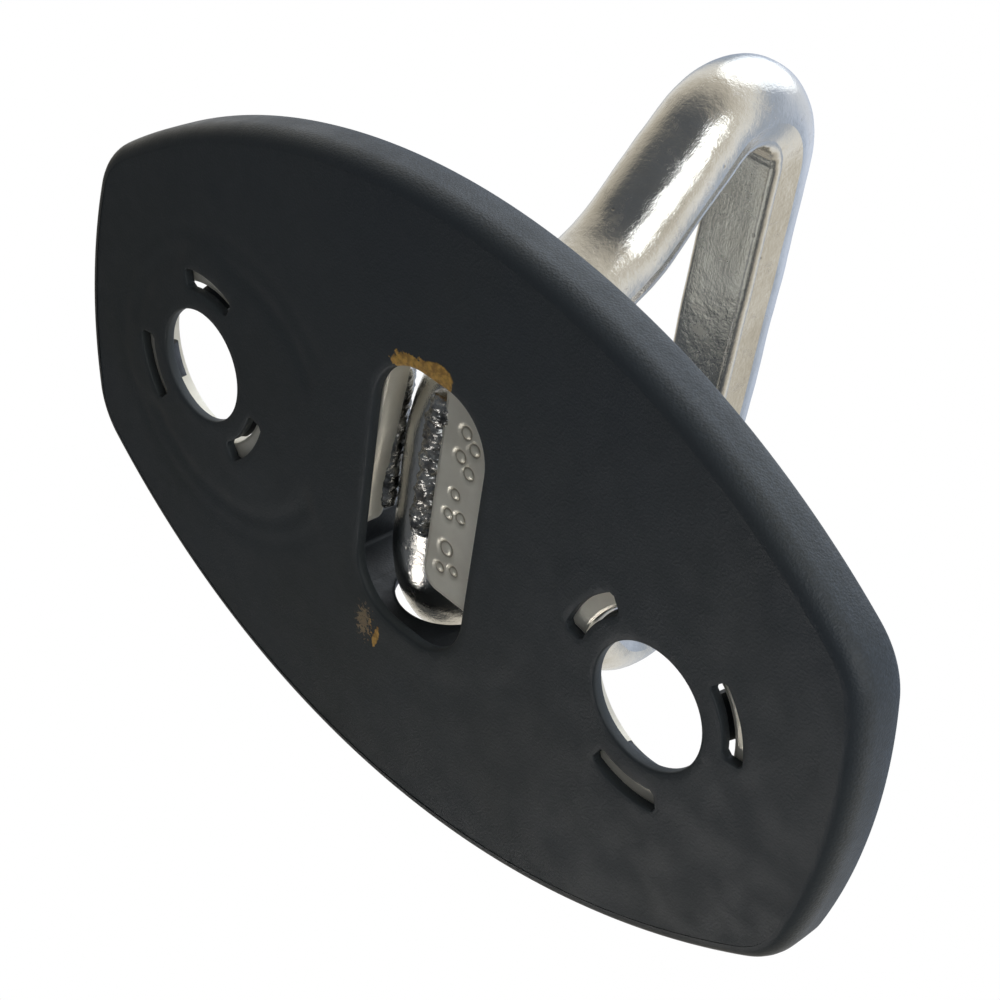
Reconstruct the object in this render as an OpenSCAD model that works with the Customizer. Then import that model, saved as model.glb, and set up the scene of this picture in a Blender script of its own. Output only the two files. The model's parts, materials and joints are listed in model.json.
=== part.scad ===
// Welded anchor ring on a steel base plate, held in a clip-on plastic pad.
// The flat outer face of the pad lies on z = 0 and the ring rises along +z.
// The bolt holes lie on the x axis and the ring lies in the y-z plane.

/* [Bolt holes] */
// distance between the two bolt holes
hole_pitch = 60; // [56:1:66]
// radius of the bolt holes in the pad
pad_hole_r = 5.75; // [4.5:0.25:5.75]

/* [Pad] */
// half length of the flat face
pad_half_len = 48; // [47:0.5:52]
// half width of the flat face
pad_half_wid = 30.1; // [28:0.5:33]
// radius of the two long edges
pad_side_r = 75; // [72:1:90]
// radius of the two short ends
pad_end_r = 54; // [45:1:70]
// radius of the four corners
pad_corner_r = 7; // [5:0.5:9]
// height of the pad from face to rim
pad_h = 4.8; // [4.8:0.1:6]
// thickness of the pad floor
pad_floor = 1.0; // [0.8:0.1:1.2]
// thickness of the pad wall
pad_wall = 1.5; // [1.2:0.1:2]
// how far the rim stands out past the flat face
rim_flare = 1.65; // [1.4:0.05:2]

/* [Window] */
// half width of the window
win_half_wid = 7.0; // [5.5:0.25:8]
// half length of the window
win_half_len = 13.7; // [11:0.25:15]
// corner radius of the window
win_corner_r = 5.5; // [3:0.25:5.5]
// sideways position of the window
win_x = 1.8; // [0:0.1:2]
// lengthways position of the window
win_y = -1.9; // [-2:0.1:0]

/* [Snap hooks] */
// inner radius of the arc slots
arc_r_in = 7.9; // [7.7:0.1:8]
// outer radius of the arc slots
arc_r_out = 9.9; // [9.6:0.1:10.5]
// half opening angle of the arc slots
arc_half = 22; // [18:1:26]
// half opening angle of the hooks
hook_half = 15; // [8:1:16]
// turn of the first hook about its hole
hook_turn = 93; // [80:1:100]
// height of the hooks
hook_top = 2.4; // [2.2:0.1:2.8]

/* [Collar] */
// height of the collar that closes the notch round the ring's leg
collar_h = 11.6; // [8:0.2:12]
// thickness of the collar wall
collar_wall = 1.5; // [1.2:0.1:1.7]

/* [Base plate] */
// thickness of the steel plate
plate_t = 2.5; // [2.3:0.1:2.6]
// radius of the plate ends
ear_r = 13.5; // [13:0.25:14]
// half width of the plate at its middle
plate_half_wid = 19; // [18.5:0.25:21]
// radius of the holes in the plate
plate_hole_r = 8.25; // [8.1:0.05:8.4]
// half width of the slot under the ring
slot_half = 3.45; // [3:0.05:3.8]
// distance from the hole line to the notch
notch_y = 5.7; // [5:0.1:6.5]
// half width of the notch
notch_half = 12; // [10:0.5:14]

/* [Ring] */
// radius of the ring bar
bar_r = 4.85; // [4.6:0.05:5]
// height of the far bar centre above the face
ring_top = 44; // [42:0.5:50]
// half length of the straight run on the plate
run_half = 5.6; // [5:0.1:6.5]
// centre line radius of the two lower bends
low_bend_r = 10.3; // [9.5:0.1:12]
// angle turned by the lower bends
low_bend_a = 75; // [70:1:80]
// straight length above the lower bends
leg_len = 3.5; // [2:0.5:6]
// centre line radius of the two outward bends
mid_bend_r = 17.9; // [15:0.1:20]
// angle turned by the outward bends
mid_bend_a = 33; // [28:1:38]
// centre line radius of the two top bends
top_bend_r = 6.0; // [5.5:0.1:8]
// sideways position of the ring
ring_x = -1.0; // [-1.5:0.1:0]

/* [Welds] */
// radius of the weld under the plate
under_weld_r = 2.0; // [1.8:0.1:2.2]
// radius of the welds on top of the plate
top_weld_r = 2.6; // [2.2:0.1:3]

/* [Hidden] */
$fn = 96;
hx = hole_pitch / 2;
plate_z0 = pad_floor;
plate_z1 = pad_floor + plate_t;

// plate outline: side arcs that run into the two round ends
side_drop = plate_half_wid - ear_r + 0.9;
plate_side_r = (hx * hx + side_drop * side_drop) / (2 * side_drop);
plate_side_c = plate_side_r - plate_half_wid;

// pad outline: corner circles tangent inside the side and end arcs
side_c = pad_side_r - pad_half_wid;
end_c = pad_end_r - pad_half_len;
side_d = pad_side_r - pad_corner_r;
end_d = pad_end_r - pad_corner_r;
cc_dist = sqrt(side_c * side_c + end_c * end_c);
cc_ang = acos((side_d * side_d + cc_dist * cc_dist - end_d * end_d)
    / (2 * side_d * cc_dist));
cc_base = atan2(side_c, -end_c);
corner_x = side_d * cos(cc_base - cc_ang);
corner_y = side_d * sin(cc_base - cc_ang) - side_c;
side_ang = atan2(corner_y + side_c, corner_x);
end_ang = atan2(corner_y, corner_x + end_c);
step = 0.03;
lap = 0.3;
side_lap = lap / pad_side_r * 180 / PI;
end_lap = lap / pad_end_r * 180 / PI;

// ring path
run_z = plate_z1 + sqrt(bar_r * bar_r - slot_half * slot_half);
head = low_bend_a - mid_bend_a;
c1 = [run_half, run_z + low_bend_r];
p1 = c1 + low_bend_r * [sin(low_bend_a), -cos(low_bend_a)];
p2 = p1 + leg_len * [cos(low_bend_a), sin(low_bend_a)];
c2 = p2 + mid_bend_r * [sin(low_bend_a), -cos(low_bend_a)];
p3 = c2 + mid_bend_r * [-sin(head), cos(head)];
arm_len = (ring_top - top_bend_r * (1 + cos(head)) - p3[1]) / sin(head);
p4 = p3 + arm_len * [cos(head), sin(head)];
c3 = p4 + top_bend_r * [-sin(head), cos(head)];
flat_in = 0.66 * bar_r;

// section of the pad rim, x measured outward from the flat face edge;
// the foot is rounded off in four short bevels
module rim_section(base) {
    f = rim_flare;
    translate([base, 0])
        polygon([[-3, 0], [0, 0], [0.49 * f, 0.13 * f],
            [0.82 * f, 0.42 * f], [0.97 * f, 0.76 * f], [f, 1.2 * f],
            [f, pad_h], [-3, pad_h]]);
}

module rim_arc(centre, start, sweep, r) {
    translate([centre[0], centre[1], 0])
        rotate([0, 0, start])
        rotate_extrude(angle = sweep)
        rim_section(r);
}

// the rim runs round four corners, two long sides and two ends
module rim_loop() {
    for (i = [0, 1])
        for (j = [0, 1])
            mirror([i, 0, 0]) mirror([0, j, 0])
                rim_arc([corner_x, corner_y], end_ang,
                    side_ang - end_ang, pad_corner_r);
    for (k = [0, 180])
        rotate([0, 0, k]) {
            rim_arc([0, -side_c], side_ang - side_lap,
                180 - 2 * side_ang + 2 * side_lap, pad_side_r - step);
            rim_arc([-end_c, 0], -end_ang - end_lap,
                2 * end_ang + 2 * end_lap, pad_end_r - step);
        }
}

// lens outline set out from the flat face edge, corners cut straight
module lens_outline(out) {
    sr = pad_side_r + out;
    er = pad_end_r + out;
    sx = (sr - 0.4) * cos(side_ang);
    sy = (sr - 0.4) * sin(side_ang) - side_c;
    ex = (er - 0.4) * cos(end_ang) - end_c;
    ey = (er - 0.4) * sin(end_ang);
    intersection() {
        translate([0, -side_c]) circle(sr);
        translate([0, side_c]) circle(sr);
        translate([-end_c, 0]) circle(er);
        translate([end_c, 0]) circle(er);
        polygon([[ex, -ey], [ex + 9, 0], [ex, ey], [sx, sy], [0, 60],
            [-sx, sy], [-ex, ey], [-ex - 9, 0], [-ex, -ey], [-sx, -sy],
            [0, -60], [sx, -sy]]);
    }
}

module window_outline() {
    cx = win_half_wid - win_corner_r;
    cy = win_half_len - win_corner_r;
    translate([win_x, win_y]) {
        square([2 * win_half_wid, 2 * cy], center = true);
        square([2 * cx, 2 * win_half_len], center = true);
        for (i = [-1, 1])
            for (j = [-1, 1])
                translate([i * cx, j * cy]) circle(win_corner_r);
    }
}

// sector of a flat ring, used for the arc slots
module arc_outline(r_in, r_out, half) {
    difference() {
        intersection() {
            circle(r_out);
            polygon([[0, 0], [20, -20 * tan(half)],
                [20, 20 * tan(half)]]);
        }
        circle(r_in);
    }
}

module hook() {
    rotate([0, 0, -hook_half])
        rotate_extrude(angle = 2 * hook_half)
        polygon([[6.3, 0.4], [7.75, 0.4], [8.05, hook_top - 0.8],
            [8.05, hook_top - 0.5], [7.7, hook_top], [7.1, hook_top],
            [6.3, hook_top - 1.1]]);
}

// wall on the pad floor round the notch, open for the ring's leg
module collar() {
    w = notch_half - 0.6;
    y0 = notch_y + 3.6;
    y1 = notch_y + 8.5;
    t = collar_wall;
    leg_a = asin((y1 - t / 2 - c1[0]) / (low_bend_r + bar_r));
    difference() {
        translate([ring_x, 0, 0.5]) linear_extrude(collar_h - 0.5)
            polygon([[-w, y0], [-w + t, y0], [-w + t, y1 - t - 0.3],
                [-w + t + 0.3, y1 - t], [w - t - 0.3, y1 - t],
                [w - t, y1 - t - 0.3], [w - t, y0], [w, y0],
                [w, y1 - 1.2], [w - 1.2, y1], [-w + 1.2, y1],
                [-w, y1 - 1.2]]);
        // bore for the leg, on the tangent of its outer side
        translate([ring_x, c1[0] + low_bend_r * sin(leg_a),
            c1[1] - low_bend_r * cos(leg_a)])
            rotate([leg_a - 90, 0, 0])
            cylinder(h = 30, r = bar_r + 0.4, center = true);
    }
}

// hook positions about the hole on the +x side
module at_hooks() {
    for (k = [0, 120, 240])
        rotate([0, 0, hook_turn + k]) children();
}

// the same feature at both holes, turned half way round for the other
module at_holes() {
    for (a = [0, 180])
        rotate([0, 0, a]) translate([hx, 0, 0]) children();
}

module pad() {
    color("#3b434a") {
        difference() {
            union() {
                rim_loop();
                linear_extrude(pad_h) lens_outline(-1.5);
            }
            translate([0, 0, pad_floor]) linear_extrude(pad_h)
                lens_outline(rim_flare - pad_wall);
            translate([0, 0, -1]) linear_extrude(9) window_outline();
            at_holes() {
                translate([0, 0, -1]) cylinder(h = 9, r = pad_hole_r);
                at_hooks() translate([0, 0, -1]) linear_extrude(9)
                    arc_outline(arc_r_in, arc_r_out, arc_half);
            }
        }
        at_holes() at_hooks() hook();
        collar();
    }
}

module plate_outline() {
    sh = slot_half;
    difference() {
        union() {
            for (s = [-1, 1]) translate([s * hx, 0]) circle(ear_r);
            intersection() {
                translate([0, -plate_side_c]) circle(plate_side_r);
                translate([0, plate_side_c]) circle(plate_side_r);
                square([2 * hx, 80], center = true);
            }
        }
        for (s = [-1, 1]) translate([s * hx, 0]) circle(plate_hole_r);
        // slot that seats the ring, open to the notch
        translate([ring_x, 0])
            polygon([[-sh, 30], [-sh, -14], [2 - sh, -16], [sh - 2, -16],
                [sh, -14], [sh, 30]]);
        // notch that clears the lower leg, with a flared slot mouth
        translate([ring_x, notch_y])
            polygon([[-sh - 1.6, 0], [-sh - 0.5, -1.1], [-sh, -2.6],
                [sh, -2.6], [sh + 0.5, -1.1], [sh + 1.6, 0],
                [notch_half - 3, 0], [notch_half, 3], [notch_half, 40],
                [-notch_half, 40], [-notch_half, 3],
                [3 - notch_half, 0]]);
    }
}

module base_plate() {
    color("#d6d2c4")
        translate([0, 0, plate_z0]) linear_extrude(plate_t)
        plate_outline();
}

// bar section with a flat towards the eye, x measured towards the eye
module bar_section(less) {
    difference() {
        circle(bar_r - less, $fn = 40);
        translate([flat_in - less, -bar_r]) square([bar_r, 2 * bar_r]);
    }
}

// bend whose centre is on the eye side
module bend_in(centre, r, start, sweep) {
    translate([centre[0], centre[1], 0]) rotate([0, 0, start])
        rotate_extrude(angle = sweep, $fn = 72)
        translate([r, 0]) mirror([1, 0]) bar_section(0);
}

// bend whose centre is outside the ring
module bend_out(centre, r, start, sweep) {
    translate([centre[0], centre[1], 0]) rotate([0, 0, start])
        rotate_extrude(angle = sweep, $fn = 72)
        translate([r, 0]) bar_section(0);
}

// straight bar from a point along a heading, eye side on its left;
// it is a touch thinner than the bends and laps into them
module straight(from, heading, length) {
    translate([from[0], from[1], 0]) rotate([0, 0, heading])
        rotate([90, 0, 90]) translate([0, 0, -lap])
        linear_extrude(length + 2 * lap) bar_section(step);
}

module ring_leg() {
    bend_in(c1, low_bend_r, -90, low_bend_a);
    straight(p1, low_bend_a, leg_len);
    bend_out(c2, mid_bend_r, head + 90, mid_bend_a);
    straight(p3, head, arm_len);
    bend_in(c3, top_bend_r, head - 90, 180 - head);
}

module ring() {
    color("#c9c8c2")
        translate([ring_x, 0, 0]) rotate([90, 0, 90]) {
            ring_leg();
            mirror([1, 0, 0]) ring_leg();
            straight([-run_half, run_z], 0, 2 * run_half);
            straight([c3[0], ring_top], 180, 2 * c3[0]);
        }
}

module weld_under() {
    color("#8f8a80") translate([ring_x, -14, 0]) rotate([-90, 0, 0])
        linear_extrude(16) difference() {
            translate([slot_half - 0.5, -plate_z0 - 1.1])
                circle(under_weld_r);
            translate([0, -run_z]) circle(bar_r);
            translate([slot_half, -plate_z1 - 5])
                square([9, 5 + plate_t]);
            translate([-9, -plate_z1 - 9]) square([20, 9]);
        }
}

module weld_top(side) {
    color("#8f8a80") translate([ring_x, -12, 0]) rotate([-90, 0, 0])
        linear_extrude(17) difference() {
            translate([side * (slot_half + 1.3), -plate_z1 - 0.3])
                circle(top_weld_r);
            translate([0, -run_z]) circle(bar_r);
            translate([-20, -plate_z1]) square([40, 20]);
        }
}

module weld_top_left() {
    weld_top(-1);
}

module weld_top_right() {
    weld_top(1);
}

pad();
base_plate();
ring();
weld_under();
weld_top_left();
weld_top_right();
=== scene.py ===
"""Looks of a welded anchor ring on a steel plate in a snap-on plastic pad.

Everything is in metres in the frame of the CAD part: the flat outer face of
the pad is z = 0, the bolt holes are on the x axis, the ring rises along +z.
"""
import json
import math

import bmesh
import bpy
from mathutils import Matrix, Vector, noise
from mathutils.geometry import delaunay_2d_cdt

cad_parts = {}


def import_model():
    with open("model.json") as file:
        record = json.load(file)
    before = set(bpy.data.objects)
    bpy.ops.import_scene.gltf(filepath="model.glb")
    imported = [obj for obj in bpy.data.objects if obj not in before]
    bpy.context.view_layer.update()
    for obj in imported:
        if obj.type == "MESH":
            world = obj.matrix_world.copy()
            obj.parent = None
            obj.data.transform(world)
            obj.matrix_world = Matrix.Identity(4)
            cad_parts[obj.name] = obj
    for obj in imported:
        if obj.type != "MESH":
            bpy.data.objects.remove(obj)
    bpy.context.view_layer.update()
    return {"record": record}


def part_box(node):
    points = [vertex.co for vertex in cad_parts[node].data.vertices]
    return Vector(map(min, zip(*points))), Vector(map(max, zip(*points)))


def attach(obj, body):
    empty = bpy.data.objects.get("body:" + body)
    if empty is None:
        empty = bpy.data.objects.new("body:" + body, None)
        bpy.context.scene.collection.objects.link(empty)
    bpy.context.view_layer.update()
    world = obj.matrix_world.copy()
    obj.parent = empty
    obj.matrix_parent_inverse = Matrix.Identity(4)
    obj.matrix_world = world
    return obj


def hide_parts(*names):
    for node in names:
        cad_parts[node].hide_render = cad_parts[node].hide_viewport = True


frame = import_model()

MM = 0.001
pad_lo, pad_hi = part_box("pad")
plate_lo, plate_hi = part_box("base_plate")
ring_lo, ring_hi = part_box("ring")

# lengths below are in millimetres, positions come from the CAD boxes
COLLAR_H = pad_hi.z / MM    # the pad's tallest feature
PAD_H = 4.8                 # the pad's rim
PLATE_Z0 = plate_lo.z / MM
PLATE_Z1 = plate_hi.z / MM
RING_X = (ring_lo.x + ring_hi.x) / 2 / MM
BAR_R = (ring_hi.x - ring_lo.x) / 2 / MM
RING_TOP = ring_hi.z / MM - BAR_R
HOLE_X = next(m for m in frame["record"]["mounts"]
              if m["name"] == "bolts")["dims"]["spacing_x_mm"] / 2
BOLT_R = 5.75               # bolt hole in the pad
EAR_HOLE_R = 8.25           # wider hole in the plate, for the hooks
SLOT_HALF = 3.45            # half the slot that seats the ring
SLOT_SKEW = 0.1             # the slot's -x edge runs out by this per mm
FLAT_AT = 0.64              # the bar's flat, as a share of its radius
RUN_Z = PLATE_Z1 + math.sqrt(BAR_R ** 2 - SLOT_HALF ** 2)


# ---------------------------------------------------------------- helpers
def polar(cx, cy, r, degrees):
    a = math.radians(degrees)
    return cx + r * math.cos(a), cy + r * math.sin(a)


def arc(cx, cy, r, a0, a1, n):
    """Points on an arc, angles in degrees, both ends included."""
    return [polar(cx, cy, r, a0 + (a1 - a0) * i / n) for i in range(n + 1)]


def clean(points, gap=1e-4):
    """A closed loop without repeated points."""
    out = []
    for p in points:
        if not out or math.dist(p, out[-1]) > gap:
            out.append(p)
    if math.dist(out[0], out[-1]) <= gap:
        out.pop()
    return out


def offset_loop(loop, d):
    """A counter-clockwise loop moved outward by d."""
    n = len(loop)
    out = []
    for i in range(n):
        ax, ay = loop[i - 1]
        bx, by = loop[i]
        cx, cy = loop[(i + 1) % n]
        e0 = Vector((bx - ax, by - ay)).normalized()
        e1 = Vector((cx - bx, cy - by)).normalized()
        m = Vector((e0.y + e1.y, -e0.x - e1.x))
        m = m / max(m.length_squared / 2, 0.5)
        out.append((bx + m.x * d, by + m.y * d))
    return out


def circle_loop(cx, cy, r, n):
    return clean(arc(cx, cy, r, 0, 360, n))


def build(name, pile, smooth_angle, material):
    """Makes a mesh object from a pile of millimetre vertices."""
    mesh = bpy.data.meshes.new(name)
    mesh.from_pydata([(x * MM, y * MM, z * MM) for x, y, z in pile.verts],
                     [], pile.faces)
    bm = bmesh.new()
    bm.from_mesh(mesh)
    bmesh.ops.remove_doubles(bm, verts=bm.verts, dist=1e-6)
    bmesh.ops.dissolve_degenerate(bm, edges=bm.edges, dist=1e-7)
    bmesh.ops.recalc_face_normals(bm, faces=bm.faces)
    for f in bm.faces:
        f.smooth = True
    limit = math.radians(smooth_angle)
    for e in bm.edges:
        if len(e.link_faces) == 2 and e.calc_face_angle(0) > limit:
            e.smooth = False
    bm.to_mesh(mesh)
    bm.free()
    obj = bpy.data.objects.new(name, mesh)
    bpy.context.scene.collection.objects.link(obj)
    mesh.materials.append(material)
    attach(obj, "root")
    return obj


def cap(loops, z, extra=(), height=None):
    """Flat cap between an outer loop and hole loops, with inner points."""
    pts, edges = [], []
    for loop in loops:
        base = len(pts)
        n = len(loop)
        pts += [Vector(p) for p in loop]
        edges += [(base + i, base + (i + 1) % n) for i in range(n)]
    pts += [Vector(p) for p in extra]
    out = delaunay_2d_cdt(pts, edges, [], 0, 1e-5)
    verts, tris = out[0], out[2]
    keep = []
    for t in tris:
        c = sum((verts[i] for i in t), Vector((0, 0))) / len(t)
        if inside(c, loops[0]) and not any(inside(c, h) for h in loops[1:]):
            keep.append(tuple(t))
    if height is None:
        return [(v.x, v.y, z) for v in verts], keep
    return [(v.x, v.y, z + height(v.x, v.y)) for v in verts], keep


def inside(p, loop):
    x, y = p[0], p[1]
    hit = False
    j = len(loop) - 1
    for i in range(len(loop)):
        xi, yi = loop[i]
        xj, yj = loop[j]
        if (yi > y) != (yj > y) and x < (xj - xi) * (y - yi) / (yj - yi) + xi:
            hit = not hit
        j = i
    return hit


def skirt(rings):
    """Quads between closed rings of 3-D points with equal counts."""
    verts = [p for r in rings for p in r]
    n = len(rings[0])
    faces = []
    for k in range(len(rings) - 1):
        a, b = k * n, (k + 1) * n
        for i in range(n):
            j = (i + 1) % n
            faces.append((a + i, a + j, b + j, b + i))
    return verts, faces


def tube(rings, closed):
    """Quads round a chain of section rings, with caps if it is open."""
    verts, faces = skirt(rings)
    n = len(rings[0])
    last = (len(rings) - 1) * n
    if closed:
        faces += [(last + i, last + (i + 1) % n, (i + 1) % n, i)
                  for i in range(n)]
    else:
        faces.append(tuple(range(n)))
        faces.append(tuple(last + i for i in range(n)))
    return verts, faces


class Pile:
    """Collects vertices and faces of several strips into one mesh."""

    def __init__(self):
        self.verts, self.faces = [], []

    def add(self, part):
        base = len(self.verts)
        self.verts += part[0]
        self.faces += [tuple(base + i for i in f) for f in part[1]]


def wobble(x, y, z, scale):
    return noise.noise(Vector((x, y, z)) * scale)


def bell(x):
    return math.exp(-x * x)


# --------------------------------------------------------------- materials
class Nodes:
    """Short names for building a material's node tree."""

    def __init__(self, name):
        self.mat = bpy.data.materials.new(name)
        self.mat.use_nodes = True
        self.tree = self.mat.node_tree
        self.shader = self.tree.nodes["Principled BSDF"]
        self.pos = self.node("ShaderNodeTexCoord").outputs["Object"]

    def node(self, kind, **values):
        n = self.tree.nodes.new(kind)
        for key, value in values.items():
            if key.startswith("in_"):
                self.put(n.inputs[key[3:].replace("_", " ")], value)
            else:
                setattr(n, key, value)
        return n

    def put(self, socket, value):
        if isinstance(value, bpy.types.NodeSocket):
            self.tree.links.new(value, socket)
        else:
            socket.default_value = value

    def math(self, op, a, b=0.0):
        n = self.node("ShaderNodeMath", operation=op)
        for socket, value in zip(n.inputs, (a, b)):
            self.put(socket, value)
        return n.outputs[0]

    def noise(self, scale, detail=3.0, rough=0.55, at=None):
        n = self.node("ShaderNodeTexNoise", in_Scale=scale,
                      in_Detail=detail, in_Roughness=rough)
        self.put(n.inputs["Vector"], at if at is not None else self.pos)
        return n.outputs["Fac"]

    def stretch(self, sx, sy, sz):
        """Object coordinates scaled by a different factor on each axis."""
        n = self.node("ShaderNodeMapping")
        self.put(n.inputs["Vector"], self.pos)
        n.inputs["Scale"].default_value = (sx, sy, sz)
        return n.outputs[0]

    def cells(self, scale):
        """Distance to the nearest point of a cell pattern."""
        n = self.node("ShaderNodeTexVoronoi", in_Scale=scale)
        self.put(n.inputs["Vector"], self.pos)
        return n.outputs["Distance"]

    def span(self, value, a, b, c=0.0, d=1.0):
        """Takes a..b smoothly to c..d and holds the ends."""
        n = self.node("ShaderNodeMapRange", clamp=True)
        n.interpolation_type = "SMOOTHSTEP"
        for socket, v in zip(n.inputs, (value, a, b, c, d)):
            self.put(socket, v)
        return n.outputs[0]

    def mix(self, fac, a, b):
        n = self.node("ShaderNodeMix", data_type="RGBA")
        self.put(n.inputs[0], fac)
        self.put(n.inputs[6], a)
        self.put(n.inputs[7], b)
        return n.outputs[2]

    def bump(self, height, strength, distance, under=None):
        n = self.node("ShaderNodeBump", in_Strength=strength,
                      in_Distance=distance)
        self.put(n.inputs["Height"], height)
        if under is not None:
            self.put(n.inputs["Normal"], under)
        return n.outputs[0]

    def axes(self):
        n = self.node("ShaderNodeSeparateXYZ")
        self.put(n.inputs[0], self.pos)
        return n.outputs

    def blob(self, x, y, rx, ry, turn, ragged, scale):
        """Ragged distance from an ellipse's middle, 1 at its edge, mm."""
        m = self.node("ShaderNodeMapping", vector_type="TEXTURE")
        self.put(m.inputs["Vector"], self.pos)
        m.inputs["Location"].default_value = (x * MM, y * MM, 0)
        m.inputs["Rotation"].default_value = (0, 0, math.radians(turn))
        m.inputs["Scale"].default_value = (rx * MM, ry * MM, 1)
        n = self.node("ShaderNodeVectorMath", operation="LENGTH")
        self.put(n.inputs[0], m.outputs[0])
        rag = self.math("SUBTRACT", self.noise(scale, 4.0, 0.65), 0.5)
        return self.math("ADD", n.outputs["Value"],
                         self.math("MULTIPLY", rag, ragged))


def finish_material(n, color, rough, normal=None, metal=0.0, **fixed):
    s = n.shader
    n.put(s.inputs["Base Color"], color)
    n.put(s.inputs["Roughness"], rough)
    s.inputs["Metallic"].default_value = metal
    if normal is not None:
        n.put(s.inputs["Normal"], normal)
    for key, value in fixed.items():
        s.inputs[key.replace("_", " ")].default_value = value
    return n.mat


def plastic_material():
    n = Nodes("pad_plastic")
    x, y, z = n.axes()
    broad = n.noise(38, 3, 0.6)
    # painted shading: the face turns slightly lighter and bluer towards +x and
    # -y
    painted_light_slope = n.span(n.math("SUBTRACT", n.math("MULTIPLY", x, 0.35), y),
                    -0.03, 0.035)
    base = n.mix(painted_light_slope, (0.030, 0.036, 0.036, 1), (0.034, 0.043, 0.053, 1))
    base = n.mix(n.span(broad, 0.35, 0.7), base, (0.039, 0.047, 0.053, 1))
    grain = n.cells(4300)
    fine = n.noise(7600, 2, 0.6)
    base = n.mix(n.math("MULTIPLY", n.span(fine, 0.55, 0.8), 0.28), base,
                 (0.07, 0.08, 0.09, 1))
    # painted sheen: the outer rim's walls drawn lighter and bluer, in patches,
    # for the sky's reflection on them
    normal_z = n.node("ShaderNodeSeparateXYZ")
    n.put(normal_z.inputs[0],
          n.node("ShaderNodeNewGeometry").outputs["True Normal"])
    side = n.span(n.math("ABSOLUTE", normal_z.outputs[2]), 0.93, 0.35)
    # only on the outer rim, not in the openings
    rim_x, rim_y = 0.0496, 0.0318
    ex = n.math("POWER", n.math("ABSOLUTE",
                                n.math("DIVIDE", x, rim_x)), 2.0)
    ey = n.math("POWER", n.math("ABSOLUTE",
                                n.math("DIVIDE", y, rim_y)), 2.0)
    side = n.math("MULTIPLY", side, n.span(n.math("ADD", ex, ey),
                                           0.74, 0.88))
    rim_sheen = n.math("MULTIPLY", side, n.span(n.noise(2600, 4, 0.75),
                                           0.42, 0.66))
    # painted sheen: a lighter bluish colour on the rim walls
    base = n.mix(n.math("MULTIPLY", rim_sheen, 0.5), base,
                 (0.060, 0.075, 0.095, 1))
    # short scuffs
    scuff = n.noise(1.0, 4, 0.6, at=n.stretch(250, 2400, 250))
    scuff = n.math("MULTIPLY", n.span(scuff, 0.66, 0.74),
                   n.span(n.noise(90, 2), 0.5, 0.7))
    base = n.mix(n.math("MULTIPLY", scuff, 0.25), base,
                 (0.12, 0.13, 0.14, 1))
    # mustard marking paint above the window and specks below it
    top = n.math("MINIMUM",
                 n.blob(1.9, -16.35, 2.05, 1.15, -14, 0.35, 1000),
                 n.blob(-1.4, -15.75, 2.3, 0.95, -16, 1.7, 1700))
    top = n.math("MINIMUM", top, n.blob(2.95, -16.0, 0.95, 1.1, 40, 0.4,
                                        1100))
    low = n.math("MINIMUM",
                 n.blob(-1.5, 14.9, 0.40, 1.35, 10, 1.2, 1900),
                 n.blob(-3.3, 14.1, 0.9, 1.5, 0, 5.2, 2600))
    face = n.span(z, 0.0012, 0.0006)
    paint = n.math("MULTIPLY", n.math("MAXIMUM", n.span(top, 1.06, 0.92),
                                      n.span(low, 1.02, 0.86)), face)
    hue = n.mix(n.span(n.noise(1500, 3), 0.35, 0.65),
                (0.40, 0.21, 0.05, 1), (0.74, 0.44, 0.10, 1))
    faded = n.math("MULTIPLY", n.span(n.math("MULTIPLY", x, -1), 0.0020,
                                      0.0028), n.span(y, 0.0, 0.002))
    hue = n.mix(n.math("MULTIPLY", faded, 0.8), hue,
                (0.22, 0.19, 0.14, 1))
    base = n.mix(paint, base, hue)
    rough = n.span(n.noise(300, 3), 0.3, 0.7, 0.50, 0.60)
    rough = n.math("SUBTRACT", rough, n.math("MULTIPLY", side, 0.10))
    height = n.math("ADD", n.math("MULTIPLY", grain, 0.7),
                    n.math("MULTIPLY", fine, 0.6))
    strength = n.math("ADD", 0.22, n.math("MULTIPLY", side, 0.12))
    bump = n.bump(height, 0.5, 0.00012)
    n.put(bump.node.inputs["Strength"], strength)
    bump = n.bump(n.math("ADD", paint, n.math("MULTIPLY", broad, 0.4)),
                  0.5, 0.0001, bump)
    return finish_material(n, base, rough, bump,
                           Specular_IOR_Level=0.42)


def shaded_material():
    """The pad's inner features: the same plastic, drawn much darker as painted
    shade, without the rim's painted sheen.
    """
    n = Nodes("pad_plastic_painted_shade")
    # painted shade: a far darker base than the pad plastic, for the shadowed
    # hooks and collar
    base = n.mix(n.span(n.noise(260, 4, 0.6), 0.35, 0.7),
                 (0.010, 0.012, 0.014, 1), (0.019, 0.023, 0.027, 1))
    rough = n.span(n.noise(500, 3), 0.3, 0.7, 0.42, 0.58)
    bump = n.bump(n.cells(4300), 0.2, 0.0001)
    return finish_material(n, base, rough, bump, Specular_IOR_Level=0.35)


# rows of small generic punch rings, centre x and y, radius
PUNCHES = [(5.3, -12.0, 0.62), (6.5, -10.9, 0.62), (5.0, -9.4, 0.62),
           (6.2, -8.3, 0.62), (5.0, -5.4, 0.55), (6.0, -3.4, 0.55),
           (4.5, -3.0, 0.55), (4.9, 0.6, 0.75), (6.1, 2.4, 0.5),
           (4.4, 3.0, 0.5)]


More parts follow.
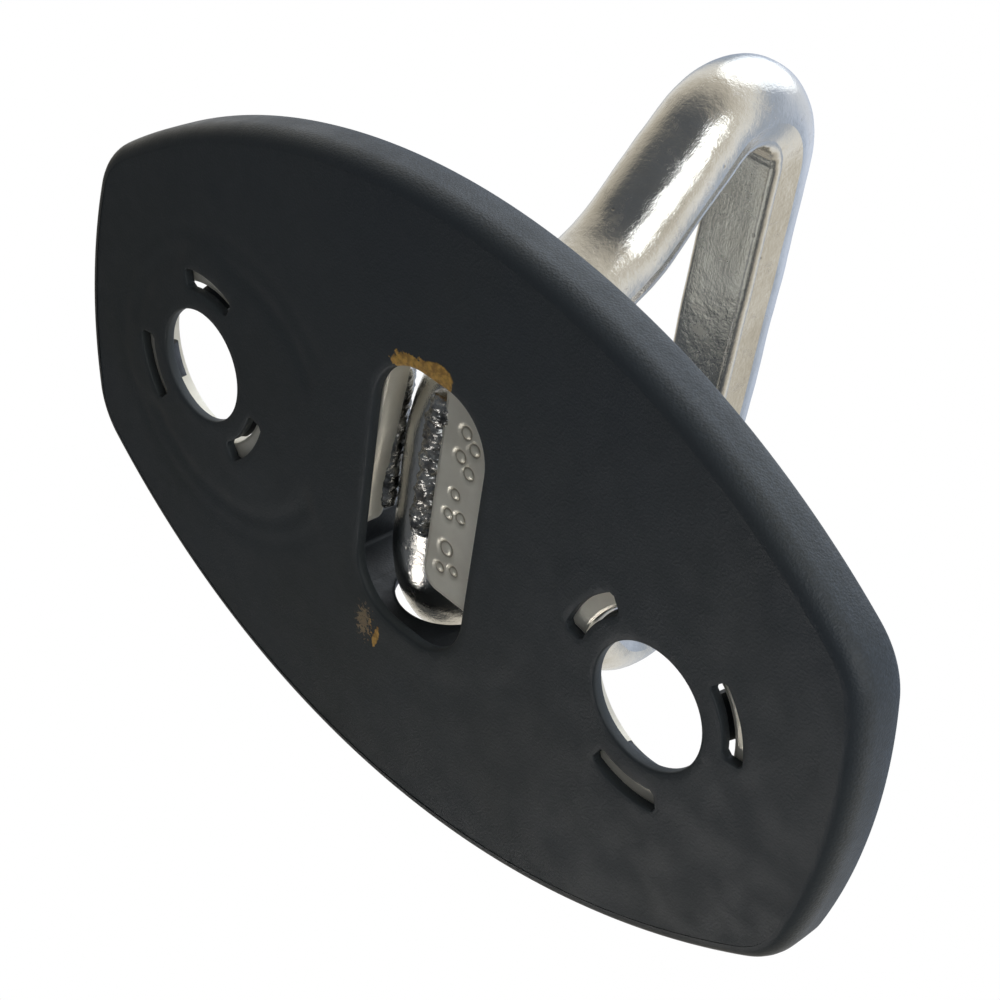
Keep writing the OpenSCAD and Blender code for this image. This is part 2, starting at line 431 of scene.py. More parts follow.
def plate_material():
    n = Nodes("plate_steel")
    cloud = n.noise(160, 4, 0.6)
    base = n.mix(n.span(cloud, 0.3, 0.7), (0.80, 0.755, 0.64, 1),
                 (0.93, 0.895, 0.78, 1))
    spots = n.span(n.cells(900), 0.10, 0.05)
    spots = n.math("MULTIPLY", spots, n.span(n.noise(400, 2), 0.52, 0.6))
    base = n.mix(n.math("MULTIPLY", spots, 0.35), base,
                 (0.30, 0.25, 0.18, 1))
    # the punch marks on the underside drawn darker along their rings
    groove = None
    for px, py, r in PUNCHES:
        m = n.node("ShaderNodeMapping", vector_type="TEXTURE")
        n.put(m.inputs["Vector"], n.pos)
        m.inputs["Location"].default_value = (px * MM, py * MM,
                                              PLATE_Z0 * MM)
        m.inputs["Scale"].default_value = (MM, MM, MM)
        d = n.node("ShaderNodeVectorMath", operation="LENGTH")
        n.put(d.inputs[0], m.outputs[0])
        ring = n.math("ABSOLUTE", n.math("SUBTRACT", d.outputs["Value"], r))
        groove = ring if groove is None else n.math("MINIMUM", groove, ring)
    ragged = n.math("ADD", groove,
                    n.math("MULTIPLY", n.noise(2600, 3), 0.16))
    groove = n.span(ragged, 0.24, 0.11)
    base = n.mix(n.math("MULTIPLY", groove, 0.75), base,
                 (0.24, 0.20, 0.13, 1))
    draw = n.noise(1.0, 5, 0.65, at=n.stretch(220, 5200, 220))
    rough = n.span(n.math("ADD", draw, n.math("MULTIPLY", cloud, 0.4)),
                   0.45, 0.9, 0.30, 0.46)
    bump = n.bump(draw, 0.25, 0.00006)
    bump = n.bump(n.noise(1300, 3, 0.6), 0.22, 0.00008, bump)
    return finish_material(n, base, rough, bump, metal=0.35)


def ring_material():
    n = Nodes("ring_steel")
    cloud = n.noise(95, 4, 0.6)
    base = n.mix(n.span(cloud, 0.3, 0.7), (0.66, 0.64, 0.59, 1),
                 (0.80, 0.79, 0.76, 1))
    dull = n.span(n.noise(380, 5, 0.7), 0.52, 0.72)
    base = n.mix(n.math("MULTIPLY", dull, 0.30), base,
                 (0.44, 0.41, 0.36, 1))
    # small nicks and specks in the plating
    nick = n.span(n.cells(520), 0.13, 0.06)
    nick = n.math("MULTIPLY", nick, n.span(n.noise(150, 2), 0.54, 0.62))
    speck = n.span(n.noise(3800, 3, 0.7), 0.60, 0.72)
    base = n.mix(n.math("MULTIPLY", nick, 0.4), base,
                 (0.26, 0.22, 0.17, 1))
    base = n.mix(n.math("MULTIPLY", speck, 0.22), base,
                 (0.38, 0.36, 0.32, 1))
    draw = n.noise(1.0, 5, 0.7, at=n.stretch(3400, 150, 150))
    rough = n.span(n.math("ADD", n.math("MULTIPLY", draw, 0.6),
                          n.math("MULTIPLY", dull, 0.5)),
                   0.25, 0.85, 0.17, 0.36)
    bump = n.bump(draw, 0.28, 0.00007)
    bump = n.bump(n.noise(640, 5, 0.7), 0.42, 0.00016, bump)
    bump = n.bump(n.noise(3000, 3, 0.65), 0.30, 0.00005, bump)
    bump = n.bump(n.math("MULTIPLY", nick, -1.0), 0.4, 0.00008, bump)
    return finish_material(n, base, rough, bump, metal=1.0)


def weld_material():
    n = Nodes("weld_metal")
    cloud = n.noise(520, 4, 0.65)
    base = n.mix(n.span(cloud, 0.3, 0.68), (0.07, 0.072, 0.075, 1),
                 (0.55, 0.55, 0.53, 1))
    tint = n.span(n.noise(210, 3), 0.5, 0.68)
    base = n.mix(n.math("MULTIPLY", tint, 0.35), base,
                 (0.16, 0.12, 0.08, 1))
    rough = n.span(n.noise(1500, 3), 0.3, 0.7, 0.12, 0.34)
    bump = n.bump(n.noise(1900, 4, 0.65), 0.5, 0.00014)
    return finish_material(n, base, rough, bump, metal=1.0)


PLASTIC = plastic_material()
SHADED = shaded_material()
PLATE = plate_material()
RING = ring_material()
WELD = weld_material()


# --------------------------------------------------------------- pad
SIDE_R, END_R, CORNER_R = 75.0, 54.0, 7.0
RIM_FLARE, WALL, FLOOR = 1.65, 1.5, 1.0
FILLET = 0.5                # inner foot of the rim wall
HALF_LEN = (pad_hi.x - pad_lo.x) / 2 / MM - RIM_FLARE
HALF_WID = 30.1
SIDE_C = SIDE_R - HALF_WID
END_C = END_R - HALF_LEN


def lens(out):
    """Outline of the flat face set outward by out."""
    sd, ed = SIDE_R - CORNER_R, END_R - CORNER_R
    d = math.hypot(SIDE_C, END_C)
    ang = math.acos((sd * sd + d * d - ed * ed) / (2 * sd * d))
    base = math.atan2(SIDE_C, -END_C)
    cx = sd * math.cos(base - ang)
    cy = sd * math.sin(base - ang) - SIDE_C
    a_side = math.degrees(math.atan2(cy + SIDE_C, cx))
    a_end = math.degrees(math.atan2(cy, cx + END_C))
    pts = arc(-END_C, 0, END_R + out, -a_end, a_end, 28)
    pts += arc(cx, cy, CORNER_R + out, a_end, a_side, 16)
    pts += arc(0, -SIDE_C, SIDE_R + out, a_side, 180 - a_side, 110)
    pts += arc(-cx, cy, CORNER_R + out, 180 - a_side, 180 - a_end, 16)
    pts += arc(END_C, 0, END_R + out, 180 - a_end, 180 + a_end, 28)
    pts += arc(-cx, -cy, CORNER_R + out, 180 + a_end, 180 + a_side, 16)
    pts += arc(0, SIDE_C, SIDE_R + out, 180 + a_side, 360 - a_side, 110)
    pts += arc(cx, -cy, CORNER_R + out, -a_side, -a_end, 16)
    return clean(pts)


WINDOW_AT = (1.8, -1.9)


def window_loop():
    """Rounded window, with extra points on its straight sides."""
    w, h, r = 7.0, 13.7, 5.5
    x, y = WINDOW_AT
    pts = []
    for k, (sx, sy) in enumerate(((1, 1), (-1, 1), (-1, -1), (1, -1))):
        pts += arc(x + sx * (w - r), y + sy * (h - r), r,
                   90 * k, 90 * k + 90, 14)
    out = []
    for i, p in enumerate(pts):
        q = pts[(i + 1) % len(pts)]
        out.append(p)
        d = math.dist(p, q)
        if d > 1.5:
            k = int(d)
            out += [(p[0] + (q[0] - p[0]) * j / k,
                     p[1] + (q[1] - p[1]) * j / k) for j in range(1, k)]
    return clean(out)


def sector_loop(cx, cy, r0, r1, mid, half, corner=0.35):
    """Arc slot with slightly rounded corners, counter-clockwise."""
    c1 = math.degrees(corner / r1)
    c0 = math.degrees(corner / r0)
    pts = arc(cx, cy, r1, mid - half + c1, mid + half - c1, 14)
    pts.append(polar(cx, cy, r1 - corner, mid + half))
    pts.append(polar(cx, cy, r0 + corner, mid + half))
    pts += arc(cx, cy, r0, mid + half - c0, mid - half + c0, 14)
    pts.append(polar(cx, cy, r0 + corner, mid - half))
    pts.append(polar(cx, cy, r1 - corner, mid - half))
    return clean(pts)


# which bolt hole, and the angle of the hook and its arc slot round it
HOOKS = [(s, 93 + 120 * k + (0 if s > 0 else 180))
         for s in (1, -1) for k in range(3)]
ARC_IN, ARC_OUT, ARC_HALF = 7.9, 9.9, 22

# x, y and reach of every opening, where the face has to be flat
HOLE_SPOTS = [(*WINDOW_AT, 15.6)]
HOLE_SPOTS += [(s * HOLE_X, 0, 6.2) for s in (1, -1)]
HOLE_SPOTS += [(s * HOLE_X + 8.9 * math.cos(math.radians(a)),
                8.9 * math.sin(math.radians(a)), 3.9) for s, a in HOOKS]


def face_height(x, y):
    """Sink marks, ghost ridge and slight waviness of the outer face."""
    h = 0.05 * wobble(x, y, 3.1, 0.045) + 0.012 * wobble(x, y, 9.7, 0.3)
    d = math.hypot((x + 26.0) / 14.6, (y - 0.5) / 13.2)
    h += 0.15 * bell((d - 1) / 0.06)
    h += 0.09 * bell((d - 1.17) / 0.05)
    for px, py, r, k in ((-29.6, -18.8, 0.8, -0.09),
                         (-12.2, -6.0, 0.6, -0.07),
                         (-16.7, -5.0, 0.35, 0.06)):
        h += k * bell(math.hypot(x - px, y - py) / r)
    edge = min(1.0, max(0.0, (1.04 - (x / 51.0) ** 2
                              - (y / 33.0) ** 2) / 0.12))
    return max(0.0, h + 0.05) * edge


def rim_profile():
    """Rounded foot, outer wall, rim top and inner wall: (outward, z)."""
    f = RIM_FLARE
    profile = [(0.0, 0.0)]
    for i in range(1, 9):
        a = math.radians(90 * i / 8)
        profile.append((f * math.sin(a) * 0.985,
                        f * 1.25 * (1 - math.cos(a))))
    return profile + [
        (f, PAD_H * 0.7), (f, PAD_H - 0.35), (f - 0.1, PAD_H - 0.1),
        (f - 0.35, PAD_H), (f - WALL + 0.3, PAD_H),
        (f - WALL + 0.08, PAD_H - 0.08), (f - WALL, PAD_H - 0.3),
        (f - WALL, FLOOR + 0.5), (f - WALL - 0.12, FLOOR + 0.16),
        (f - WALL - FILLET, FLOOR)]


def pad_openings():
    """Every opening's loop with the width of its rounded edge."""
    window_edge, bolt_edge, arc_edge = 0.28, 0.2, 0.12
    holes = [(window_loop(), window_edge)]
    holes += [(circle_loop(s * HOLE_X, 0, BOLT_R, 72), bolt_edge)
              for s in (1, -1)]
    holes += [(sector_loop(s * HOLE_X, 0, ARC_IN, ARC_OUT, a, ARC_HALF),
               arc_edge) for s, a in HOOKS]
    return holes


def make_pad():
    pile = Pile()
    rim_face = lens(0.0)
    rings = [[(x, y, z) for x, y in offset_loop(rim_face, o)]
             for o, z in rim_profile()]
    pile.add(skirt(rings))
    # openings: an edge round, then a straight wall to the floor's top
    ease = 0.08
    low, top = [], []
    for loop, e in pad_openings():
        steps = [(e, 0.0), (e * 0.45, e * 0.22), (e * 0.12, e * 0.6),
                 (0.0, e * 1.2), (0.0, FLOOR - 0.1), (ease, FLOOR)]
        rings = [[(x, y, z) for x, y in offset_loop(loop, o)]
                 for o, z in steps]
        pile.add(skirt(rings))
        low.append(offset_loop(loop, e))
        top.append(offset_loop(loop, ease))
    inner = offset_loop(rim_face, RIM_FLARE - WALL - FILLET)
    # inner points of the two flat faces, clear of every edge
    grid = 0.75
    nx, ny = int(48 / grid), int(30 / grid)
    points = [((i + 0.5 * (j % 2)) * grid, j * grid * 0.9)
              for i in range(-nx, nx + 1) for j in range(-ny, ny + 1)]
    grown = [offset_loop(h, 0.35) for h in low]

    def free(candidates, border):
        border = offset_loop(border, -0.6)
        return [p for p in candidates if inside(p, border)
                and not any(inside(p, h) for h in grown)]

    def lifted(x, y):
        """Fade the waviness out at every opening."""
        near = 1.0
        for cx, cy, r in HOLE_SPOTS:
            d = math.hypot(x - cx, y - cy)
            near = min(near, max(0.0, (d - r) / 1.2))
        return face_height(x, y) * near

    pile.add(cap([rim_face] + low, 0.0, free(points, rim_face), lifted))
    pile.add(cap([inner] + top, FLOOR, free(points[::3], inner)))
    return build("pad_shell", pile, 40, PLASTIC)


def make_hooks():
    """Six snap hooks that grip the steel plate inside its bolt holes."""
    pile = Pile()
    half = 15
    section = [(6.3, 0.4), (7.72, 0.4), (7.78, 0.9), (8.02, 1.55),
               (8.07, 1.75), (8.02, 1.95), (7.74, 2.36), (7.6, 2.42),
               (7.2, 2.42), (7.05, 2.34), (6.4, 1.44), (6.3, 1.25)]
    for s, mid in HOOKS:
        rings = []
        for i in range(13):
            u = i / 12
            t = mid - half + 2 * half * u
            pinch = 0.12 * max(0.0, abs(u - 0.5) * 2 - 0.85) / 0.15
            a = math.radians(t)
            ring = []
            for r, z in section:
                rr = r + (pinch if r < 7 else -pinch)
                zz = z - (pinch * 0.6 if z > 1.9 else 0)
                ring.append((s * HOLE_X + rr * math.cos(a),
                             rr * math.sin(a), zz))
            rings.append(ring)
        pile.add(tube(rings, False))
    return build("pad_snap_hooks", pile, 35, SHADED)


def collar_wall(path, top_of):
    """Upright wall along a path of (outer, inner) points."""
    edge = 0.22
    rings = []
    for (ox, oy), (ix, iy) in path:
        t = math.dist((ox, oy), (ix, iy))
        zt = top_of(ox, oy)
        ux, uy = (ix - ox) / t, (iy - oy) / t
        rings.append([
            (ox, oy, 0.5), (ox, oy, FLOOR + 0.3),
            (ox, oy, max(zt - 0.5, FLOOR + 0.35)),
            (ox + ux * 0.06, oy + uy * 0.06, zt - edge),
            (ox + ux * edge, oy + uy * edge, zt),
            (ix - ux * edge, iy - uy * edge, zt),
            (ix - ux * 0.06, iy - uy * 0.06, zt - edge),
            (ix, iy, max(zt - 0.5, FLOOR + 0.35)), (ix, iy, FLOOR + 0.3),
            (ix, iy, 0.5)])
    return tube(rings, False)


def make_collar():
    """Wall on the pad floor that closes the notch round the ring's leg."""
    w, y0, y1, t = 11.4, 9.3, 14.2, 1.5
    turn, inner_turn = 1.6, 0.4
    bend_y, bend_r = 5.6, 10.3
    rise = math.asin((y1 - t / 2 - bend_y) / (bend_r + BAR_R))
    mid_y = bend_y + bend_r * math.sin(rise)
    mid_z = RUN_Z + bend_r - bend_r * math.cos(rise)
    bore = BAR_R + 0.4

    def bore_z(x, y):
        """Lower edge of the leg's bore at that place on the wall."""
        at = mid_z + (y - mid_y) * math.tan(rise)
        return at - math.sqrt(max(0.0, bore * bore - x * x)) \
            / math.cos(rise)

    def top_of(x, y):
        zt = COLLAR_H
        end = abs(y - y0)
        if abs(x) > w - t - 0.01 and end < 1.3:
            zt -= 1.3 - math.sqrt(max(0.0, 1.69 - (1.3 - end) ** 2))
        if abs(x) < bore:
            zt = min(zt, bore_z(x, y1 - t))
        elif abs(x) < bore + 0.9 and y > y1 - t:
            d = abs(x) - bore
            zt -= 0.9 - math.sqrt(max(0.0, 0.81 - (0.9 - d) ** 2))
        return zt

    half = [((w, y0 + q), (w - t, y0 + q * 0.85))
            for q in (0, 0.1, 0.3, 0.6, 1.0, 1.4, 2.2, 3.2)]
    for k in range(0, 9):
        a = math.pi / 2 * k / 8
        half.append(((w - turn + turn * math.cos(a),
                      y1 - turn + turn * math.sin(a)),
                     (w - t - inner_turn + inner_turn * math.cos(a),
                      y1 - t - inner_turn + inner_turn * math.sin(a))))
    for x in (8.6, 7.6, bore + 0.9, bore + 0.6, bore + 0.3, bore + 0.1,
              bore + 0.001):
        half.append(((x, y1), (x, y1 - t)))
    for k in range(24):
        x = bore * math.cos(math.pi / 2 * k / 24)
        half.append(((x, y1), (x, y1 - t)))
    path = half + [((0, y1), (0, y1 - t))]
    path += [((-o[0], o[1]), (-i[0], i[1])) for o, i in half[::-1]]
    pile = Pile()
    pile.add(collar_wall(path, top_of))
    pile.verts = [(x + RING_X, y, z) for x, y, z in pile.verts]
    return build("pad_collar", pile, 35, SHADED)


# --------------------------------------------------------------- plate
def plate_outline():
    """Plate with two round ears, a notch and the slot under the ring."""
    ear_r, half_wid, hx = 13.5, 19.0, HOLE_X
    drop = half_wid - ear_r + 0.9
    r = (hx * hx + drop * drop) / (2 * drop)
    c = r - half_wid
    # where the side arc meets the ear circle
    d = math.hypot(hx, c)
    k = (r * r - ear_r * ear_r + d * d) / (2 * d)
    h = math.sqrt(max(0.0, r * r - k * k))
    ux, uy = hx / d, c / d
    mx, my = k * ux - h * uy, -c + k * uy + h * ux
    qx, qy = k * ux + h * uy, -c + k * uy - h * ux
    px, py = (mx, my) if my > qy else (qx, qy)
    a_ear = math.degrees(math.atan2(py, px - hx))
    a_side = math.degrees(math.atan2(py + c, px))
    sh, rx = SLOT_HALF, RING_X
    ny, nh = 5.7, 12.0

    def top_y(x):
        """The plate's long edge at x."""
        return math.sqrt(r * r - x * x) - c

    xr, xl = rx + nh, rx - nh
    ar = math.degrees(math.atan2(top_y(xr) + c, xr))
    al = math.degrees(math.atan2(top_y(xl) + c, xl))
    pts = arc(hx, 0, ear_r, -a_ear, a_ear, 48)
    pts += arc(0, -c, r, a_side, ar, 24)
    pts += [(xr, top_y(xr) - (top_y(xr) - ny - 3.8) * t / 6)
            for t in range(1, 6)]
    # notch floor and the flared mouth of the slot
    pts += arc(xr - 3, ny + 3, 3, 0, -90, 8)
    pts += [(rx + sh + 3.4, ny)]
    pts += arc(rx + sh + 1.9, ny - 1.9, 1.9, 90, 180, 10)
    pts += [(rx + sh, 1.0), (rx + sh, -3.0), (rx + sh, -7.0),
            (rx + sh, -11.0), (rx + sh, -14.0)]
    pts += arc(rx + sh - 2, -14, 2, 0, -90, 8)
    pts += arc(rx - sh + 2, -14, 2, -90, -180, 8)
    # the -x edge runs slightly askew up to the notch
    run = 14
    pts += [(rx - sh - SLOT_SKEW * k, -13.0 + k)
            for k in range(0, run + 1, 2)]
    sh += SLOT_SKEW * run
    pts += arc(rx - sh - 1.9, ny - 1.9, 1.9, 0, 90, 10)
    pts += [(rx - sh - 3.4, ny)]
    pts += arc(xl + 3, ny + 3, 3, -90, -180, 8)
    pts += [(xl, ny + 3.8 + (top_y(xl) - ny - 3.8) * t / 6)
            for t in range(1, 6)]
    pts += arc(0, -c, r, al, 180 - a_side, 24)
    pts += arc(-hx, 0, ear_r, 180 - a_ear, 180 + a_ear, 48)
    pts += arc(0, c, r, 180 + a_side, 360 - a_side, 70)
    return clean(pts, 0.02)


def punch_depth(x, y):
    """Ring-shaped punch marks pressed into the plate's underside."""
    h = 0.02 * wobble(x, y, 5.5, 0.12)
    for px, py, r in PUNCHES:
        d = math.hypot(x - px, y - py)
        if d < r * 2.4:
            h += 0.16 * bell((d - r) / 0.16) - 0.03 * bell((d - r * 1.7)
                                                            / 0.2)
    return max(0.0, h + 0.03)


def make_plate():
    pile = Pile()
    outline = plate_outline()
    z0, z1 = PLATE_Z0, PLATE_Z1
    steps = [(-0.35, z0), (-0.1, z0 + 0.07), (0.0, z0 + 0.3),
             (0.0, z0 + 0.9), (0.0, z1 - 0.22), (-0.06, z1 - 0.07),
             (-0.2, z1)]
    ears = [circle_loop(s * HOLE_X, 0, EAR_HOLE_R, 80) for s in (1, -1)]
    loops0, loops1 = [], []
    for k, loop in enumerate([outline] + ears):
        sign = 1 if k == 0 else -1
        rings = [[(x, y, z) for x, y in offset_loop(loop, sign * o)]
                 for o, z in steps]
        pile.add(skirt(rings))
        loops0.append(offset_loop(loop, sign * -0.35))
        loops1.append(offset_loop(loop, sign * -0.2))
    in0 = offset_loop(loops0[0], -0.3)
    extra = []
    for i in range(-60, 61):
        for j in range(-30, 31):
            extra.append((i * 0.8, j * 0.8))
    extra = [p for p in extra if inside(p, in0)
             and all(math.hypot(p[0] - s * HOLE_X, p[1]) > 9.1
                     for s in (1, -1))]
    far = [p for p in extra
           if all(math.hypot(p[0] - a, p[1] - b) > r * 2.2
                  for a, b, r in PUNCHES)]
    for a, b, r in PUNCHES:
        for q in (0.0, 0.35, 0.65, 0.8, 0.9, 1.0, 1.1, 1.22, 1.45, 1.75,
                  2.1):
            n = 1 if q == 0 else 20
            for i in range(n):
                t = 2 * math.pi * (i + 0.5 * (q * 10 % 2)) / n
                p = (a + r * q * math.cos(t), b + r * q * math.sin(t))
                if inside(p, in0) and all(
                        math.hypot(p[0] - c, p[1] - d)
                        > math.hypot(p[0] - a, p[1] - b) - 1e-9
                        for c, d, e in PUNCHES):
                    far.append(p)
    pile.add(cap(loops0, z0, far, punch_depth))
    pile.add(cap(loops1, z1, extra[::2]))
    return build("base_plate_steel", pile, 38, PLATE)


# --------------------------------------------------------------- ring
def ring_path():
    """Centre line in (y, z) with heading angle and curvature, mm."""
    lb_r, lb_a = 10.3, 75.0
    mb_r, mb_a = 17.9, 33.0
    tb_r, leg, run = 6.0, 3.5, 5.6
    head = lb_a - mb_a
    segs = []
    y, z, a = 0.0, RUN_Z, 0.0

    def line(length, n):
        nonlocal y, z
        for i in range(n):
            segs.append((y, z, a, 0.0))
            y += length / n * math.cos(math.radians(a))
            z += length / n * math.sin(math.radians(a))

    def bend(r, sweep, n):
        nonlocal y, z, a
        s = 1 if sweep > 0 else -1
        for i in range(n):
            segs.append((y, z, a, s / r))
            da = sweep / n
            step = 2 * r * math.sin(math.radians(abs(da)) / 2)
            mid = math.radians(a + da / 2)
            y += step * math.cos(mid)
            z += step * math.sin(mid)
            a += da

    line(run, 10)
    bend(lb_r, lb_a, 36)
    line(leg, 8)
    bend(mb_r, -mb_a, 26)
    up = (RING_TOP - tb_r * (1 + math.cos(math.radians(head))) - z) \
        / math.sin(math.radians(head))
    line(up, 20)
    bend(tb_r, 180 - head, 44)
    line(y, 22)
    segs.append((0.0, z, a, 0.0))
    # the -y half is the mirror image, walked back to the start
    back = [(-p[0], p[1], 360 - p[2], p[3]) for p in segs[1:-1]][::-1]
    return segs + back


def section_points():
    """Section as (towards eye, sideways) pairs."""
    r = BAR_R
    flat, wide = FLAT_AT * r, 0.74 * r
    pts = []
    for i in range(33):
        a = math.pi * i / 32
        pts.append((-r * math.sin(a), r * math.cos(a)))
    corner = 1.05

    def side_at(n):
        """Half width of the tapered side at height n above the middle."""
        k = n / flat
        return r + (wide - r) * k

    left = []
    for i in range(1, 8):
        n = (flat - corner) * i / 7
        left.append((n, -side_at(n)))
    s = side_at(flat - corner)
    for i in range(1, 10):
        a = math.pi / 2 * i / 9
        left.append((flat - corner + corner * math.sin(a),
                     -(s - corner * 0.9 + corner * 0.9 * math.cos(a))))
    mid = [(flat, (s - corner * 0.9) * (k / 4)) for k in range(-3, 4)]
    right = [(n, -y) for n, y in left][::-1]
    return pts + left + mid + right


def make_ring():
    path = ring_path()
    section = section_points()
    n = len(path)
    rings = []
    run = 0.0
    for i, (y, z, a, k) in enumerate(path):
        py, pz = path[i - 1][0], path[i - 1][1]
        if i:
            run += math.hypot(y - py, z - pz)
        # curvature smoothed over neighbours, for flattening in the bends
        ks = sum(path[(i + d) % n][3] for d in range(-5, 6)) / 11
        t = math.radians(a)
        ny, nz = -math.sin(t), math.cos(t)
        ring = []
        for q, s in section:
            ox, on = s, q
            inward = max(0.0, q) / (FLAT_AT * BAR_R)
            tight = min(1.0, max(0.0, ks) * 7.0)
            # bend swells the inside sideways and flattens the outside
            ox *= 1.0 - 0.025 * tight * (1 - inward)
            on -= 0.0 if q > 0 else 0.18 * tight * q / BAR_R
            # compression wrinkles inside the tight bends
            if inward > 0.2:
                w = math.sin(run * 3.1 + 0.6 * wobble(s, run, 0, 0.5))
                on += 0.03 * tight * inward * w
            px, py2, pz2 = ox, y + ny * on, z + nz * on
            d = 0.10 * wobble(px, py2, pz2, 0.16) \
                + 0.035 * wobble(px + 7, py2, pz2, 0.55)
            d -= 0.10
            ln = math.hypot(q, s)
            ring.append((RING_X + px + d * s / ln,
                         py2 + ny * d * q / ln, pz2 + nz * d * q / ln))
        rings.append(ring)
    pile = Pile()
    pile.add(tube(rings, True))
    return build("anchor_ring", pile, 14, RING)


# --------------------------------------------------------------- welds
def bead(x, y0, y1, z, radius, tilt, pitch, seed, rough=1.0, skew=0.0):
    """Lumpy weld bead along y.

    tilt is where the crown points, in degrees, pitch the ripples' spacing,
    and skew how far the bead has drifted to -x at its +y end.
    """
    step = 0.09
    count = int((y1 - y0) / step)
    up = math.radians(tilt)
    lumps = []
    y, k = y0, 0
    while y < y1 + pitch:
        r = noise.noise(Vector((seed, k * 1.7, 0.5)))
        q = noise.noise(Vector((seed + 5, k * 1.3, 2.5)))
        lumps.append((y, 0.9 * q, 1 + 0.28 * r))
        y += pitch * (1 + 0.35 * q)
        k += 1
    rings = []
    for i in range(count + 1):
        u = i / count
        y = y0 + (y1 - y0) * u
        end = min(1.0, u * count * step / 1.2,
                  (1 - u) * count * step / 1.2)
        taper = math.sqrt(max(0.02, 1 - (1 - end) ** 2))
        drift = 0.22 * noise.noise(Vector((seed, y * 0.35, 0)))
        drift -= skew * u
        ring = []
        for k in range(36):
            a = 2 * math.pi * k / 36
            crown = max(0.0, math.cos(a)) ** 0.6
            h = 0.0
            for ly, side, size in lumps:
                lag = 0.75 * (math.sin(a) - side * 0.25) ** 2 * pitch
                d = (y + lag - ly) / (0.72 * pitch * size)
                if -1 < d < 1:
                    h = max(h, size * math.sqrt(1 - d * d))
            g = noise.noise(Vector((a * 1.6 + seed, y * 1.5, 2)))
            f = noise.noise(Vector((math.cos(a) * 3 + seed, y * 4.2,
                                    math.sin(a) * 3)))
            r = radius * (0.74 + 0.27 * crown * h) \
                + rough * (0.16 * g + 0.07 * f) * radius
            r *= taper * (1 - 0.15 * u)
            ca, sa = math.cos(a), math.sin(a)
            cx = ca * math.sin(up) + sa * math.cos(up)
            cz = ca * math.cos(up) - sa * math.sin(up)
            ring.append((x + drift + r * cx, y, z + r * cz))
        rings.append(ring)
    return tube(rings, False)


def make_welds():
    out = []
    pile = Pile()
    pile.add(bead(RING_X + SLOT_HALF - 0.75, -14.0, 2.0,
                  PLATE_Z0 + 1.35, 1.85, 160, 1.9, 4.0, 1.5, 1.0))
    out.append(build("weld_bead_under", pile, 60, WELD))
    for s, nm in ((-1, "left"), (1, "right")):
        pile = Pile()
        pile.add(bead(RING_X + s * (SLOT_HALF + 1.9), -12.0, 4.0,
                      PLATE_Z1 + 0.5, 1.75, s * 48, 2.2, 20 + s, 0.6))
        out.append(build("weld_bead_top_" + nm, pile, 60, WELD))
    return out


pad = make_pad()
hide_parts("pad")
hooks = make_hooks()
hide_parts("pad")
collar = make_collar()
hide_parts("pad")
plate = make_plate()
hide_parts("base_plate")
ring = make_ring()
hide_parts("ring")
beads = make_welds()
for piece, node in zip(beads, ("weld_under", "weld_top_left",
                               "weld_top_right")):
    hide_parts(node)


# --------------------------------------------------------------- stage
def area(name, where, at, size, power, color):
    light = bpy.data.lights.new(name, "AREA")
    light.shape = "DISK"
    light.size = size
    light.energy = power
    light.color = color
    obj = bpy.data.objects.new(name, light)
    obj.location = where
    obj.rotation_mode = "QUATERNION"
    back = Vector(where) - Vector(at)
    obj.rotation_quaternion = back.to_track_quat("Z", "Y")
    bpy.context.scene.collection.objects.link(obj)
    return obj


FLOOR_Z = -0.32


def floor():
    mesh = bpy.data.meshes.new("floor")
    tiles, size = 24, 12.0
    verts = [((i / tiles - 0.5) * size, (j / tiles - 0.5) * size, FLOOR_Z)
             for j in range(tiles + 1) for i in range(tiles + 1)]
    w = tiles + 1
    faces = [(j * w + i, j * w + i + 1, (j + 1) * w + i + 1, (j + 1) * w + i)
             for j in range(tiles) for i in range(tiles)]
    mesh.from_pydata(verts, [], faces)
    obj = bpy.data.objects.new("floor", mesh)
    bpy.context.scene.collection.objects.link(obj)
    n = Nodes("floor_paper")
    base = n.mix(n.noise(6, 3), (0.80, 0.80, 0.79, 1), (0.84, 0.84, 0.83, 1))
    mesh.materials.append(finish_material(n, base, 0.85))
    obj.visible_glossy = False
    obj.visible_diffuse = False
    return obj


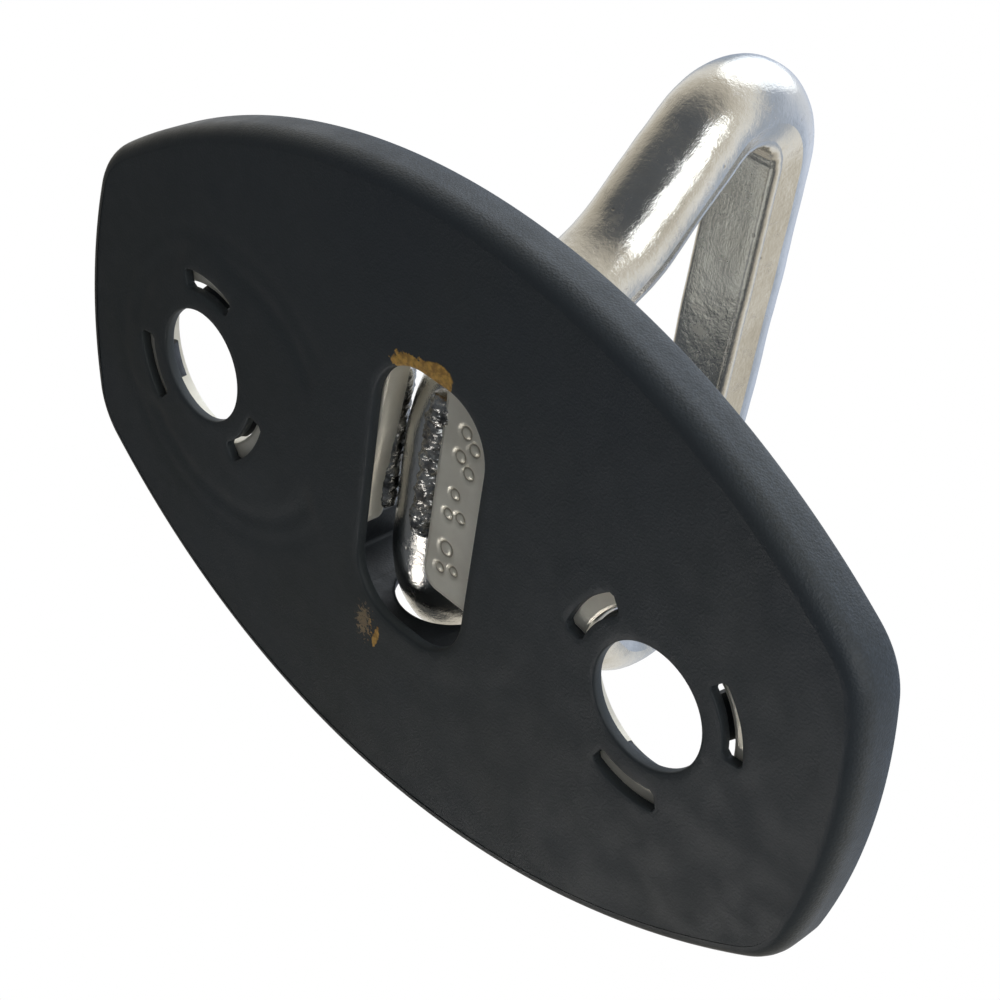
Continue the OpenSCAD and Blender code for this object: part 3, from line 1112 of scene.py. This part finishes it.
def world():
    """Soft sky by height for light and reflections, white behind."""
    w = bpy.data.worlds.new("studio")
    bpy.context.scene.world = w
    w.use_nodes = True
    t = w.node_tree
    t.nodes.clear()
    coord = t.nodes.new("ShaderNodeTexCoord")
    sep = t.nodes.new("ShaderNodeSeparateXYZ")
    t.links.new(coord.outputs["Generated"], sep.inputs[0])
    ramp = t.nodes.new("ShaderNodeValToRGB")
    rng = t.nodes.new("ShaderNodeMapRange")
    rng.inputs[1].default_value = -1
    rng.inputs[2].default_value = 1
    t.links.new(sep.outputs[2], rng.inputs[0])
    t.links.new(rng.outputs[0], ramp.inputs[0])
    stops = [(0.0, (0.20, 0.20, 0.20)), (0.14, (0.09, 0.10, 0.115)),
             (0.32, (0.12, 0.125, 0.13)), (0.45, (0.46, 0.43, 0.37)),
             (0.58, (0.62, 0.58, 0.50)), (0.74, (0.92, 0.91, 0.88)),
             (0.86, (0.34, 0.40, 0.50)), (0.94, (0.62, 0.70, 0.86)),
             (1.0, (0.80, 0.85, 0.95))]
    el = ramp.color_ramp.elements
    while len(el) < len(stops):
        el.new(0.5)
    for e, (p, c) in zip(el, stops):
        e.position = p
        e.color = (*c, 1)
    bg = t.nodes.new("ShaderNodeBackground")
    t.links.new(ramp.outputs[0], bg.inputs[0])
    bg.inputs[1].default_value = 1.0
    white = t.nodes.new("ShaderNodeBackground")
    white.inputs[0].default_value = (1, 1, 1, 1)
    white.inputs[1].default_value = 1.0
    lp = t.nodes.new("ShaderNodeLightPath")
    mix = t.nodes.new("ShaderNodeMixShader")
    t.links.new(lp.outputs["Is Camera Ray"], mix.inputs[0])
    t.links.new(bg.outputs[0], mix.inputs[1])
    t.links.new(white.outputs[0], mix.inputs[2])
    out = t.nodes.new("ShaderNodeOutputWorld")
    t.links.new(mix.outputs[0], out.inputs[0])


def camera():
    data = bpy.data.cameras.new("camera")
    data.sensor_width = 36.0
    data.lens = 65.304
    data.clip_start = 0.005
    data.clip_end = 20.0
    obj = bpy.data.objects.new("camera", data)
    rot = Matrix(((0.685314, -0.497450, 0.531873),
                  (-0.131256, -0.802758, -0.581680),
                  (0.716322, 0.328822, -0.615434)))
    obj.matrix_world = Matrix.Translation(
        (0.0913114, -0.0967943, -0.0927857)) @ rot.to_4x4()
    bpy.context.scene.collection.objects.link(obj)
    bpy.context.scene.camera = obj
    return obj


floor()
world()
camera()
CENTRE = (0.0, 0.0, 0.015)
# the two face lights hang lower than the floor, which shades most of them
area("key_sky", (-0.10, -0.45, 0.55), CENTRE, 0.9, 2.2, (0.90, 0.95, 1.0))
fill = area("face_fill", (-0.08, 0.52, -0.40), CENTRE, 0.2, 24.0,
            (1.0, 0.98, 0.94))
fill.visible_glossy = False
area("face_glint", (-0.10, 0.50, -0.42), CENTRE, 0.2, 0.7,
     (1.0, 0.96, 0.92))
area("face_soft", (0.55, -0.30, -0.20), CENTRE, 0.45, 1.3,
     (0.95, 0.98, 1.0))

bpy.context.scene.view_settings.view_transform = "Standard"
